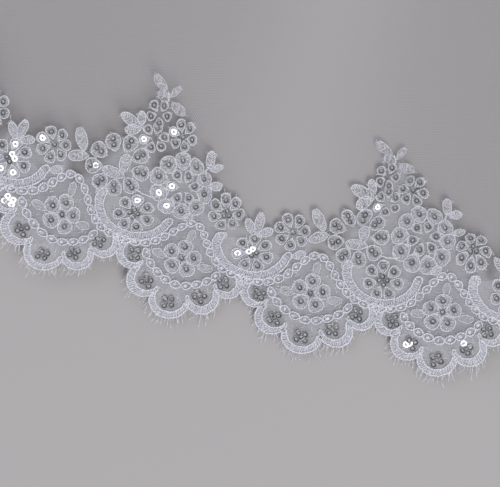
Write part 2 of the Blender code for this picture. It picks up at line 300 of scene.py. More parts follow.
TULLE_CELL = 0.0009
TULLE_THREAD = 0.00016
# The threads are a mid grey, far below the white of the tulle: painted shade of a net lit less than the
# floor.
tulle_net = Finish("tulle net", Base_Color=(0.455, 0.437, 0.460, 1.0), Roughness=0.7, Sheen_Weight=0.15)
denser_and_painted_shade, _ = tulle_net.chart()
threads = hexagon_net(tulle_net, TULLE_CELL, TULLE_THREAD)
# More alpha on the folds than in the valleys: partly denser net, partly painted shade.
tulle_net.feed("Alpha", (threads * 0.24 + 0.23) * (denser_and_painted_shade * 0.80 + 0.42))

LACE_CELL = 0.0008
LACE_THREAD = 0.00014
NET_FADE = 5.0
lace_net = Finish("lace net", Base_Color=(0.68, 0.68, 0.75, 1.0), Roughness=0.7)
_, from_edge = lace_net.chart()
clouded = lace_net.noise(160.0)
threads = hexagon_net(lace_net, LACE_CELL, LACE_THREAD)
cover = (threads * 0.5 + 0.30) * (clouded * 0.5 + 0.55)
lace_net.feed("Alpha", cover * from_edge.ramp(0.0, NET_FADE))

# %% [markdown]
# Embroidery is told apart by how its threads run. Each made surface carries a map in millimetres: U runs
# along the thread and V round or across it. A cord has slanted plies, with painted highlight on each ply's
# crown and painted shade between plies, over random lighter and darker patches; a filling is short
# stitches with the net showing between them, and a rung is one bright thread.
# %% Thread finishes
white_cord = Finish("white cord", Roughness=0.6, Sheen_Weight=0.2)
run, around = white_cord.chart()
ply = white_cord.wave(run * 0.8 + around * 0.7)
blotches = white_cord.noise(900.0)
# Painted highlight and shade: lighter on each ply's crown, darker between plies, over random lighter and
# darker patches.
tone = (ply * 0.45 + blotches * 0.9).ramp(0.30, 0.95)
white_cord.feed("Base Color", white_cord.blend(tone, (0.46, 0.465, 0.54), (0.93, 0.94, 1.0)))
white_cord.raised(ply + white_cord.noise(2600.0) * 0.6, 0.6, 0.00018)

rung_thread = Finish("rung thread", Roughness=0.55, Sheen_Weight=0.2)
tone = rung_thread.noise(1100.0).ramp(0.25, 0.75)
rung_thread.feed("Base Color", rung_thread.blend(tone, (0.52, 0.53, 0.60), (0.90, 0.91, 0.99)))
rung_thread.raised(rung_thread.noise(3000.0), 0.4, 0.0001)


def filling(name, colour, low, high, cover):
    """Short tangled stitches: alpha from two sizes of noise, with `cover` where they are thick."""
    finish = Finish(name, Base_Color=(*colour, 1.0), Roughness=0.65)
    tangle = finish.noise(1500.0, 3.0) * 0.6 + finish.noise(520.0) * 0.4
    finish.feed("Alpha", tangle.ramp(low, high) * cover)
    finish.raised(tangle, 0.5, 0.0002)
    return finish


petal_filling = filling("petal filling", (0.70, 0.71, 0.78), 0.32, 0.62, 0.58)
band_filling = filling("band filling", (0.50, 0.51, 0.58), 0.30, 0.56, 0.80)
web_filling = filling("web filling", (0.75, 0.75, 0.80), 0.05, 0.85, 0.44)

lash_thread = Finish("lash thread", Roughness=0.6)
faded = lash_thread.noise(500.0).ramp(0.3, 0.7)
lash_thread.feed("Base Color", lash_thread.blend(faded, (0.56, 0.56, 0.62), (0.86, 0.86, 0.94)))
lash_thread.feed("Alpha", faded * 0.30 + 0.65)

knot_thread = Finish("knot thread", Roughness=0.6)
tone = knot_thread.noise(1300.0).ramp(0.3, 0.7)
knot_thread.feed("Base Color", knot_thread.blend(tone, (0.36, 0.36, 0.40), (0.62, 0.62, 0.68)))
knot_thread.raised(tone, 0.3, 0.0001)

# %% [markdown]
# A sequin is a shallow cup of clear film with a dark coat. Its grey ring is painted: the coat's own dark tint
# plus a painted reflection of the dim room, with a pale rim and a hole. A few get a painted white highlight.
# %% Sequin finishes
SEQUIN_RADIUS = 1.5
SEQUIN_HOLE = 0.68
tint_and_painted_reflection = Finish("smoked sequin", Roughness=0.34, Coat_Weight=0.25, Coat_Roughness=0.3)
from_hole, _ = tint_and_painted_reflection.chart()
rim = from_hole.ramp(SEQUIN_RADIUS - 0.32, SEQUIN_RADIUS - 0.08)
patchy = tint_and_painted_reflection.noise(420.0).ramp(0.35, 0.7)
# Painted reflection: the ring's dark grey is the coat's own tint plus the dim room it would mirror.
dark_tint_and_reflection = tint_and_painted_reflection.blend(patchy, (0.080, 0.080, 0.084), (0.19, 0.19, 0.195))
tint_and_painted_reflection.feed("Base Color", tint_and_painted_reflection.blend(rim, dark_tint_and_reflection, (0.38, 0.38, 0.42)))
tint_and_painted_reflection.feed("Metallic", (1 - rim) * 0.3)

# Painted highlight: white colour and a white glow from emission in noisy patches, standing for the key light
# caught by a tipped sequin.
painted_flash = Finish("sequin with painted flash", Roughness=0.3, Emission_Strength=1.0)
from_hole, _ = painted_flash.chart()
edge = from_hole.ramp(SEQUIN_RADIUS - 0.25, SEQUIN_RADIUS)
painted_glint = painted_flash.noise(380.0).ramp(0.24, 0.48) * (1 - edge)
painted_flash.feed("Base Color", painted_flash.blend(painted_glint, (0.42, 0.42, 0.45), (0.9, 0.9, 0.92)))
painted_flash.feed("Emission Color", painted_flash.blend(painted_glint, (0.0, 0.0, 0.0), (1.0, 1.0, 1.0)))

# %% [markdown]
# Everything on the lace is a small grid in the chart: k copies, n steps along and m points across. One
# function turns a list of such grids into a mesh. It turns every face up, whichever way its grid was drawn.
# %% Grids to meshes
def build_mesh(name, grids, finish):
    """One object from (points, map, closed) grids: points (k, n, m, 3), map (k, n, m, 2). Each quad joins
    four neighbours of a grid, and `closed` also joins the last step to the first."""
    points, maps, quads = [], [], []
    start = 0
    for grid, chart, closed in grids:
        index = np.arange(grid[..., 0].size).reshape(grid.shape[:3]) + start
        ahead = np.roll(index, -1, axis=1) if closed else index[:, 1:]
        here = index if closed else index[:, :-1]
        faces = [here[:, :, :-1], ahead[:, :, :-1], ahead[:, :, 1:], here[:, :, 1:]]
        quads.append(np.stack(faces, axis=-1).reshape(-1, 4))
        points.append(grid.reshape(-1, 3))
        maps.append(chart.reshape(-1, 2))
        start += index.size
    points = np.concatenate(points)
    maps = np.concatenate(maps)
    quads = np.concatenate(quads)
    slant = points[quads[:, 2]] - points[quads[:, 0]]
    other = points[quads[:, 3]] - points[quads[:, 1]]
    up = slant[:, 0] * other[:, 1] - slant[:, 1] * other[:, 0] > 0
    quads = np.where(up[:, None], quads, quads[:, ::-1])
    mesh = bpy.data.meshes.new(name)
    mesh.vertices.add(len(points))
    mesh.vertices.foreach_set("co", points.astype(np.float32).ravel())
    mesh.loops.add(quads.size)
    mesh.loops.foreach_set("vertex_index", quads.astype(np.int32).ravel())
    mesh.polygons.add(len(quads))
    mesh.polygons.foreach_set("loop_start", np.arange(0, quads.size, 4, dtype=np.int32))
    mesh.polygons.foreach_set("use_smooth", np.ones(len(quads), dtype=bool))
    mesh.update(calc_edges=True)
    layer = mesh.uv_layers.new(name="thread")
    layer.data.foreach_set("uv", maps[quads.ravel()].astype(np.float32).ravel())
    mesh.validate()
    mesh.materials.append(finish.material)
    made = bpy.data.objects.new(name, mesh)
    bpy.context.scene.collection.objects.link(made)
    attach(made, "root")
    print(f"{name}: {2 * len(quads)} triangles")
    return made


# %% [markdown]
# The net panel is a fan: its columns start evenly along the comb and end evenly along the scalloped hem. A
# thin sheet stands for the cloth, because the wall of the imported model is thicker than real tulle. Fine
# gathers run out from the comb. The map's U is 0 in the flat valleys between the wide folds and 1 on the
# folds, and the net's alpha rises with it: partly the net seen denser on a fold, partly painted shade that
# makes the folds darker than the valleys.
# %% Tulle panel
NET_DROP = -36.5
NET_CUSP = 19.5
NET_POWER = 2.2
TULLE_HEIGHT = 0.0009
GATHERS = 46
GATHER_HEIGHT = 0.0011
GATHER_REACH = 0.055
# Angles in degrees of the flat stretches between the wide folds, where the net lies single and its alpha
# stays low, painted as paler bands.
VALLEYS = (-39.0, -14.0, 15.0, 42.0)
VALLEY_WIDTH = 5.0
COLUMNS = 372
ROWS = 116


def net_edge(along):
    """Edge of the net under the lace, in millimetres across."""
    offset = np.abs((along / SCALLOP + 0.5) % 1.0 - 0.5) * 2
    return NET_DROP + NET_CUSP * offset**NET_POWER


def tulle_grid():
    """Points of the panel: straight lines from the gathered edge to the hem, raised into folds."""
    along = np.linspace(-LACE_END, LACE_END, COLUMNS)[None, :, None]
    share = (np.linspace(0, 1, ROWS) ** 1.3)[None, None, :]
    outer_x, outer_y = bend(along, net_edge(along))
    inner_x = GATHER_HALF_WIDTH * along / LACE_END
    x = inner_x + (outer_x - inner_x) * share
    y = COMB_LINE + FAN_Y + (outer_y - COMB_LINE - FAN_Y) * share
    radius = np.hypot(x, y - FAN_Y - COMB_LINE)
    crest = 0.5 + 0.5 * np.cos(2 * np.pi * GATHERS * along / LACE_END / 2 + 1.7 * np.sin(along / 190))
    gathered = GATHER_HEIGHT * crest * smooth(radius / 0.012) * np.exp(-radius / GATHER_REACH)
    angle = np.degrees(np.arctan2(x, -(y - FAN_Y)))
    # 1 on the folds, 0 in the valleys: it raises the net's alpha on the folds, partly as painted shade.
    denser_and_painted_shade = np.ones_like(x)
    for valley in VALLEYS:
        denser_and_painted_shade = denser_and_painted_shade * (1 - np.exp(-(((angle - valley) / VALLEY_WIDTH) ** 2)))
    grid = np.stack([x, y, fold_height(x, y) + gathered + TULLE_HEIGHT], axis=-1)
    return grid, np.stack([denser_and_painted_shade, np.broadcast_to(share, x.shape)], axis=-1)


def grid_area(grid):
    """Area of a grid of points in square metres: half the length of each quad's crossed diagonals."""
    slant = grid[:, 1:, 1:] - grid[:, :-1, :-1]
    other = grid[:, 1:, :-1] - grid[:, :-1, 1:]
    return float(np.linalg.norm(np.cross(slant, other), axis=-1).sum() / 2)


grid, ridge_map = tulle_grid()
tulle = build_mesh("tulle", [(grid, ridge_map, False)], tulle_net)
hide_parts("tulle_panel")
tulle_area = grid_area(grid)
print(f"tulle: {tulle_area:.3f} m2")

# %% [markdown]
# One repeat of the pattern is 121 mm of hem, with two crescents and two scallops. The tables below are its
# chart. Each row hangs on a host: the crescent with the three-leaf sprig (at 0), the one under the tall
# sprigs (at 62.3), or a scallop's middle.
# %% Chart of one repeat
SPRIG_CRESCENT = 0.0
TALL_CRESCENT = 62.3
SCALLOP_MIDDLES = (TALL_CRESCENT / 2, (TALL_CRESCENT + REPEAT) / 2)
SCALLOP_SPANS = (TALL_CRESCENT / SCALLOP, (REPEAT - TALL_CRESCENT) / SCALLOP)
FIRST_REPEAT = -SCALLOP / 2

# Columns: host, along, across, petals, where a petal starts and ends from the middle, its width, the first
# petal's angle, how much it swells towards its tip, sequins on a petal, sequins in the middle, their reach.
FLOWERS = (
    (SPRIG_CRESCENT, 0.8, -0.8, 7, 2.8, 9.4, 5.2, 98, 0.7, 1, 4, 1.7),
    (TALL_CRESCENT, 0.6, -1.0, 7, 2.8, 9.4, 5.2, 98, 0.7, 1, 4, 1.7),
    (SPRIG_CRESCENT, 15.4, 13.4, 7, 2.4, 8.6, 5.0, 175, 0.7, 1, 1, 0.0),
    (TALL_CRESCENT, -14.8, 17.6, 9, 6.8, 14.8, 7.0, 4, 0.3, 2, 0, 0.0),
    (TALL_CRESCENT, 16.3, 20.0, 10, 7.4, 15.6, 7.8, 0, 0.3, 1, 0, 0.0),
    (TALL_CRESCENT, 16.3, 20.0, 6, 2.6, 8.2, 4.4, 18, 0.5, 1, 0, 0.0),
    (TALL_CRESCENT, 9.0, 42.0, 6, 2.0, 7.4, 4.4, -2, 0.5, 1, 1, 0.0),
    (TALL_CRESCENT, -4.0, 35.8, 6, 2.2, 7.2, 4.4, 30, 0.5, 1, 0, 0.0),
    (TALL_CRESCENT, -6.0, 47.6, 5, 1.8, 6.4, 4.1, 2, 0.5, 1, 0, 0.0),
    (TALL_CRESCENT, 41.0, 15.6, 7, 2.4, 8.8, 4.9, 57, 0.6, 1, 3, 1.5),
)
SCALLOP_FLOWER = (-0.6, -12.9, 5, 1.4, 9.0, 7.0, 90, 0.4, 1, 1, 0.0)

# Columns: host, base along and across, tip along and across, width.
LEAVES = (
    (SPRIG_CRESCENT, -1.2, 8.2, -6.8, 14.4, 3.8),
    (SPRIG_CRESCENT, -0.2, 9.0, -0.7, 18.2, 4.2),
    (SPRIG_CRESCENT, 0.8, 8.4, 6.4, 11.8, 3.8),
    (SPRIG_CRESCENT, 30.8, 17.4, 23.6, 25.6, 5.4),
    (SPRIG_CRESCENT, 33.2, 16.2, 24.0, 11.8, 4.8),
    (TALL_CRESCENT, -11.5, 15.8, -12.6, 24.2, 5.0),
    (TALL_CRESCENT, -9.6, 13.8, -20.2, 13.6, 4.8),
    (TALL_CRESCENT, -12.2, 38.2, -22.4, 40.0, 4.8),
    (TALL_CRESCENT, -12.2, 38.8, -14.2, 45.2, 3.8),
    (TALL_CRESCENT, -11.6, 37.2, -18.0, 33.4, 4.4),
    (TALL_CRESCENT, -5.8, 58.4, -14.8, 62.2, 4.2),
    (TALL_CRESCENT, -3.0, 55.0, -9.8, 56.0, 4.0),
    (TALL_CRESCENT, -3.0, 56.4, 0.8, 61.8, 3.2),
    (TALL_CRESCENT, -1.6, 53.4, 7.2, 51.2, 4.4),
    (TALL_CRESCENT, 26.2, 33.4, 25.8, 41.2, 4.4),
    (TALL_CRESCENT, 27.0, 33.2, 33.4, 35.2, 4.0),
    (TALL_CRESCENT, 29.8, 24.4, 35.8, 25.6, 3.8),
    (SPRIG_CRESCENT, 18.8, 1.8, 24.2, 5.2, 3.8),
    (SPRIG_CRESCENT, -18.4, 1.4, -13.8, 5.2, 4.0),
    (TALL_CRESCENT, -19.6, 1.6, -15.0, 5.4, 4.0),
    (TALL_CRESCENT, 21.6, 5.4, 26.4, 8.6, 3.4),
)
# Faint leaves round each scallop's flower.
SCALLOP_LEAVES = (
    (-0.2, -4.6, 0.4, 2.0, 3.4),
    (7.2, -14.6, 14.2, -14.0, 3.8),
    (-7.8, -14.4, -14.2, -13.6, 3.6),
)
# Thin stems that join the sprigs to the flowers.
STEMS = (
    (SPRIG_CRESCENT, ((0.0, 9.0), (0.4, 7.0))),
    (TALL_CRESCENT, ((-11.6, 38.0), (-9.4, 37.6), (-7.6, 36.8))),
    (TALL_CRESCENT, ((-5.0, 58.0), (-3.4, 55.4), (-4.6, 51.6))),
    (TALL_CRESCENT, ((26.4, 34.6), (25.4, 31.2), (26.6, 27.6))),
    (TALL_CRESCENT, ((-3.4, 10.2), (2.0, 9.6), (6.4, 10.2))),
)
# A crescent's band: outer and inner lines, from the left end round to the right end.
CRESCENT_OUTER = (
    (-18.6, 3.6), (-18.8, -1.0), (-16.2, -6.2), (-11.4, -10.2), (-5.0, -12.6), (1.2, -13.2),
    (7.6, -12.0), (13.0, -8.6), (16.8, -3.6), (18.4, 1.6),
)
CRESCENT_INNER = (
    (-14.6, 3.6), (-14.8, -0.6), (-12.6, -4.6), (-9.0, -7.8), (-4.2, -9.6), (1.0, -10.0),
    (6.2, -8.8), (10.4, -6.2), (13.4, -2.4), (14.8, 1.8),
)
# The chains: one over each scallop like a tent, and one along the top of its lobes.
TENT = (
    (-31.0, -14.0), (-25.0, -13.6), (-19.0, -11.8), (-13.8, -8.2), (-10.2, -3.8), (-6.8, 0.6), (-3.4, 4.2),
    (0.2, 5.2), (3.6, 3.8), (6.8, 0.2), (10.0, -4.2), (13.8, -8.4), (19.0, -12.0), (25.0, -13.6),
    (31.0, -14.0),
)
LOBE_TOP = (
    (-18.4, -14.2), (-16.4, -17.4), (-13.4, -20.2), (-9.6, -22.6), (-4.8, -24.6), (0.0, -25.5),
    (4.8, -24.8), (9.6, -22.8), (13.4, -20.4), (16.4, -17.6), (18.4, -14.4),
)
# Columns: chain, length of a link, width.
CHAINS = ((TENT, 4.8, 3.8), (LOBE_TOP, 5.0, 3.9))
# Columns: inner middle along and across, inner radius, outer middle along and across, outer radius, the
# angles where the band starts and ends, and the longest lash.
LOBES = (
    (-22.6, -17.8, 4.9, -23.6, -18.6, 6.7, 140, 322, 3.0),
    (-12.9, -26.8, 5.6, -13.9, -28.0, 7.5, 158, 330, 5.0),
    (0.0, -32.0, 6.7, 0.0, -32.9, 8.7, 190, 350, 5.6),
    (12.9, -26.8, 5.6, 13.9, -28.0, 7.5, 210, 382, 5.2),
    (22.6, -17.8, 4.9, 23.6, -18.6, 6.7, 218, 400, 3.0),
)
LOBE_SEQUINS = ((-22.0, -18.9), (-12.6, -28.0), (0.0, -34.2), (12.4, -28.0), (21.6, -18.9))

# %% [markdown]
# A petal or leaf is a width that swells and closes over its length. Its outline is a cord, and inside lie a
# thin filling and a ladder of rungs. All three come from one function of two parameters: how far from base to
# tip, and how far from side to side.
# %% Petals and leaves
def petal_points(base, tip, width, swell, there, side):
    """Chart points of petals: `there` goes from base to tip as half turns, and `side` from -1 to 1 of the
    width, which is a sine over those turns, pushed towards the tip by the power `swell`."""
    reach = tip - base
    left = np.stack([-reach[:, 1], reach[:, 0]], axis=-1) / np.hypot(*reach.T)[:, None]
    share = (1 - np.cos(there)) / 2
    full = np.linspace(0, np.pi, 60)
    fullest = (np.sin(full) * ((1 - np.cos(full)) / 2) ** swell).max()
    half = np.sin(there) * share**swell / fullest * width / 2
    ahead = base[:, None, None, :] + reach[:, None, None, :] * share[..., None]
    return ahead + left[:, None, None, :] * (half * side)[..., None]


def petal_outline(base, tip, width, swell, steps):
    """Closed outline of each petal: up its left side and down its right, shape (k, 2 steps, 2)."""
    turn = np.linspace(0, np.pi, steps + 1)
    there = np.concatenate([turn[:-1], turn[:0:-1]])
    side = np.repeat([1.0, -1.0], steps)
    return petal_points(base, tip, width, swell, there[:, None], side[:, None])[:, :, 0]


# %% [markdown]
# A cord is a low half-round section carried along a path: its sides go along the path's normal and its top
# goes up. A smooth path through a few chart points is a Catmull-Rom curve, walked in even steps.
# %% Cords and curves
def cord(path, width, height, lift, closed=False, section=4):
    """Grid of a cord over paths (k, n, 2), its lift over the lace in millimetres, and its map: the side is
    cos(t) times half the width, the top sin(t) times the height."""
    ahead = np.roll(path, -1, axis=1) - np.roll(path, 1, axis=1)
    if not closed:
        ahead[:, 0] = path[:, 1] - path[:, 0]
        ahead[:, -1] = path[:, -1] - path[:, -2]
    forward = ahead / np.maximum(np.hypot(ahead[..., 0], ahead[..., 1]), 1e-6)[..., None]
    left = np.stack([-forward[..., 1], forward[..., 0]], axis=-1)
    turn = np.linspace(0, np.pi, section)
    grid = path[:, :, None] + left[:, :, None] * (np.cos(turn) * width / 2)[:, None]
    step = np.hypot(*np.moveaxis(np.diff(path, axis=1), -1, 0))
    run = np.concatenate([np.zeros((len(path), 1)), np.cumsum(step, axis=1)], axis=1)
    chart = np.stack(np.broadcast_arrays(run[:, :, None], turn / np.pi), axis=-1)
    rise = np.broadcast_to(lift, path.shape[:2])[..., None] + np.sin(turn) * height
    return grid, rise, chart, closed


def curve_through(points, spacing):
    """Catmull-Rom curve through chart points, walked in even steps of about `spacing`."""
    knots = np.array(points, dtype=float)
    padded = np.concatenate([[2 * knots[0] - knots[1]], knots, [2 * knots[-1] - knots[-2]]])
    t = np.linspace(0, 1, 12, endpoint=False)[:, None]
    pieces = []
    for a, b, c, d in zip(padded, padded[1:], padded[2:], padded[3:]):
        bow = (2 * a - 5 * b + 4 * c - d) * t**2 + (3 * b - a - 3 * c + d) * t**3
        pieces.append(0.5 * (2 * b + (c - a) * t + bow))
    return walk(np.concatenate(pieces + [knots[-1:]]), spacing)


def walk(line, spacing=None, count=None):
    """The same line with its points an even step apart."""
    run = np.concatenate([[0], np.cumsum(np.hypot(*np.diff(line, axis=0).T))])
    even = np.linspace(0, run[-1], count or max(3, int(round(run[-1] / spacing)) + 1))
    return np.stack([np.interp(even, run, line[:, axis]) for axis in (0, 1)], axis=-1)


def normals(line):
    """Left-hand unit normals of a line."""
    ahead = np.gradient(line, axis=0)
    return np.stack([-ahead[:, 1], ahead[:, 0]], axis=-1) / np.hypot(*ahead.T)[:, None]


# %% [markdown]
# One repeat is drawn once, as items of five kinds. Pieces that belong together, such as a petal's cord, its
# rungs and its sequin, share a seed, so that they are nudged together in each copy.
# %% Drawing kit
Item = namedtuple("Item", "kind grid rise chart closed seed each loose")
items = []
hand = np.random.default_rng(5)
NUDGE = 0.13
STITCH_WIDTH = 0.30
STRAY_WIDTH = 0.20
STRAYS_ON_PETAL = 6


def draw(kind, grid, rise, chart, closed, seed=0, each=1, loose=0.0):
    """Keeps an item. `each` is how many of its grids share one nudge, and `loose` is the nudge's size."""
    rise = np.broadcast_to(rise, grid.shape[:3])
    chart = np.broadcast_to(chart, grid.shape)
    items.append(Item(kind, grid, rise, chart, closed, seed, each, loose))


def draw_strays(places, length, seed=0, loose=0.0):
    """Loose ends of the sewing thread: short bent strips that point every way from `places`."""
    turn = hand.uniform(0, 2 * np.pi, len(places))
    bend_by = turn + hand.normal(0, 0.7, len(places))
    half = length / 2 * hand.uniform(0.5, 1.4, (len(places), 1))
    first = places - np.stack([np.cos(turn), np.sin(turn)], axis=-1) * half
    last = places + np.stack([np.cos(bend_by), np.sin(bend_by)], axis=-1) * half
    path = np.stack([first, places, last], axis=1)
    lift = hand.uniform(0.25, 0.75, (len(places), 1)) + np.array([-0.1, 0.1, -0.1])
    draw("rungs", *cord(path, STRAY_WIDTH, 0.0, lift, section=2), seed, 1, loose)


def draw_petals(base, tip, width, swell, seed, thick=0.56, rungs=6):
    """Petals or leaves: an outline cord, a thin filling, ribs that meet at the middle, and loose ends."""
    base, tip = np.atleast_2d(base), np.atleast_2d(tip)
    outline = petal_outline(base, tip, width, swell, 9)
    draw("cords", *cord(outline, thick, 0.45, 0.1, True), seed, 1, NUDGE)
    there = np.linspace(0.1, 0.92, 6)[:, None] * np.pi
    fill = petal_points(base, tip, width * 0.95, swell, there, np.linspace(-1, 1, 3)[None, :])
    draw("films", fill, 0.12, np.zeros(2), False, seed, 1, NUDGE)
    if rungs:
        slant = np.array([0.05, -0.04, 0.02]) + hand.normal(0, 0.022, (rungs, 3))
        there = (np.linspace(0.24, 0.82, rungs)[:, None] + slant) * np.pi
        side = np.array([[-1.0, 0.0, 1.0]]) * hand.uniform(0.6, 1.0, (rungs, 1))
        path = petal_points(base, tip, width * 0.9, swell, there, side).reshape(-1, 3, 2)
        draw("rungs", *cord(path, STITCH_WIDTH, 0.16, 0.14, section=3), seed, rungs, NUDGE)
    pick = hand.integers(0, outline.shape[1], (len(outline), STRAYS_ON_PETAL))
    places = np.take_along_axis(outline, pick[..., None], axis=1).reshape(-1, 2)
    draw_strays(places + hand.normal(0, 0.4, places.shape), 1.5, seed)


def draw_sequins(places, seed, loose=NUDGE):
    """Cups: rings from the hole to the rim, and the white knot that holds each one down."""
    places = np.atleast_2d(places)
    turn = np.linspace(0, 2 * np.pi, 12, endpoint=False)
    radii = np.array([SEQUIN_HOLE, 1.10, SEQUIN_RADIUS])
    ring = np.stack([np.cos(turn), np.sin(turn)], axis=-1)[:, None, :] * radii[:, None]
    cup = np.array([0.0, 0.06, 0.17])
    chart = np.stack(np.broadcast_arrays(radii[None, :], turn[:, None]), axis=-1)
    draw("sequins", places[:, None, None, :] + ring, 0.62 + cup, chart, True, seed, 1, loose)
    knot = ring[::2, :2] * (np.array([0.98, 0.12]) * SEQUIN_HOLE / radii[:2])[:, None]
    draw("knots", places[:, None, None, :] + knot, np.array([0.52, 0.57]), np.zeros(2), True, seed, 1, loose)


def draw_flower(host, along, across, petals, start, end, width, first, swell, each, heart, reach, seed):
    """A ring of petals round a middle, with sequins on the petals and in the heart."""
    middle = np.array([host + along, across])
    turn = np.radians(first) - 2 * np.pi * np.arange(petals) / petals
    spoke = np.stack([np.cos(turn), np.sin(turn)], axis=-1)
    draw_petals(middle + spoke * start, middle + spoke * end, width, swell, seed, rungs=5)
    seat = start + (end - start) * (0.5 + 0.12 * swell)
    for step in {1: (0.0,), 2: (-1.35, 1.35)}[each]:
        draw_sequins(middle + spoke * (seat + step), seed)
    if heart:
        turn = np.radians(100) + 2 * np.pi * np.arange(heart) / heart
        draw_sequins(middle + np.stack([np.cos(turn), np.sin(turn)], axis=-1) * reach, seed + 500)


def draw_band(outer, inner, thick, height, step):
    """A stitched band between two lines: its filling, the short stitches across it and the cord round it."""
    count = max(6, int(np.hypot(*np.diff(outer, axis=0).T).sum() / step))
    outer, inner = walk(outer, count=count), walk(inner, count=count)
    share = np.linspace(0, 1, 3)[None, :, None]
    fill = outer[:, None, :] * (1 - share) + inner[:, None, :] * share
    draw("fillings", fill[None], 0.16, np.zeros(2), False)
    reach = hand.uniform(0.0, 0.22, (2, count - 1, 1))
    first = outer[:-1] * (1 - reach[0]) + inner[:-1] * reach[0]
    last = inner[1:] * (1 - reach[1]) + outer[1:] * reach[1]
    tilted = np.stack([first, last], axis=1) + hand.normal(0, 0.16, (count - 1, 2, 2))
    draw("rungs", *cord(tilted, 0.38, 0.24, 0.20, section=3))
    draw_strays((outer + inner) / 2 + hand.normal(0, 0.9, outer.shape), 1.6)
    there, back = round_end(outer, inner), round_end(inner[::-1], outer[::-1])
    ring = np.concatenate([outer, there, inner[::-1], back])
    draw("cords", *cord(ring[None], thick, height, 0.12, True))


def draw_web(line, other):
    """Fine stitched net from a line to another line or a point, which makes a lobe or crescent paler."""
    other = np.broadcast_to(other, line.shape)
    share = np.linspace(0, 1, 3)[None, :, None]
    web = line[::3, None, :] * (1 - share) + other[::3, None, :] * share
    draw("webs", web[None], 0.05, np.zeros(2), False)


def round_end(line, other):
    """Half a circle that joins the end of one line to the end of the other."""
    centre = (line[-1] + other[-1]) / 2
    spoke = line[-1] - centre
    ahead = line[-1] - line[-2]
    ahead = ahead / np.hypot(*ahead) * np.hypot(*spoke)
    turn = np.linspace(0, np.pi, 7)[1:-1, None]
    return centre + spoke * np.cos(turn) + ahead * np.sin(turn)


def draw_chain(points, link, width):
    """A chain of links: two cords that swing from side to side as sine waves in step but opposed, and cross
    over and under each other, with a bright knot in each link."""
    line = curve_through(points, link / 9)
    links = max(2, round(len(line) / 9))
    line = walk(line, count=links * 9 + 1)
    turn = np.linspace(0, links * np.pi, len(line))
    swing = np.abs(np.sin(turn)) ** 0.6 * np.sign(np.sin(turn)) * (width - 0.5) / 2
    for way in (1, -1):
        path = line + normals(line) * (swing * way)[:, None]
        draw("cords", *cord(path[None], 0.70, 0.48, 0.14 + 0.12 * (1 + way * np.cos(turn)), section=4))
    middle = line[4::9][:links]
    ahead = np.gradient(line, axis=0)[4::9][:links]
    ahead = ahead / np.hypot(*ahead.T)[:, None] * hand.uniform(0.45, 0.8, (links, 1))
    dots = np.stack([middle - ahead, middle, middle + ahead], axis=1) + hand.normal(0, 0.14, (links, 3, 2))
    draw("rungs", *cord(dots, 1.3, 0.35, 0.12, section=3))
    draw("fillings", band_of(line, width * 0.75), 0.10, np.zeros(2), False)
    draw_strays(line[::3] + hand.normal(0, 1.1, line[::3].shape), 1.5)


def band_of(line, width):
    """Grid along a line, `width` wide."""
    side = np.linspace(-0.5, 0.5, 3)[None, :, None] * width
    return (line[::3, None, :] + normals(line)[::3, None, :] * side)[None]


# %% [markdown]
# The repeat is now drawn from its tables. Lashes are the fine loose threads at the lobes' edge: each starts
# on the outer cord and curls a little as it lies down on the table.
# %% One repeat, drawn
FAINT_ABOVE = 50.0
for number, row in enumerate(FLOWERS):
    draw_flower(*row, seed=10 + number)
for number, middle in enumerate(SCALLOP_MIDDLES):
    draw_flower(middle, *SCALLOP_FLOWER, seed=40 + number)
    for leaf, (base_along, base_across, tip_along, tip_across, width) in enumerate(SCALLOP_LEAVES):
        base = (middle + base_along, base_across)
        tip = (middle + tip_along, tip_across)
        draw_petals(base, tip, width, 0.12, 60 + 5 * number + leaf, thick=0.42, rungs=0)
for number, (host, base_along, base_across, tip_along, tip_across, width) in enumerate(LEAVES):
    base = (host + base_along, base_across)
    tip = (host + tip_along, tip_across)
    faint = base_across > FAINT_ABOVE
    draw_petals(base, tip, width, 0.12, 80 + number, thick=0.26 if faint else 0.56, rungs=3 if faint else 8)
for host, points in STEMS:
    draw("cords", *cord(curve_through(points, 0.8)[None] + (host, 0), 0.7, 0.5, 0.1))
for host in (SPRIG_CRESCENT, TALL_CRESCENT):
    outer = curve_through(CRESCENT_OUTER, 1.0) + (host, 0)
    inner = curve_through(CRESCENT_INNER, 1.0) + (host, 0)
    draw_band(outer, inner, 0.75, 0.6, 0.95)
    draw_web(inner, np.array([host + 0.4, 6.0]))

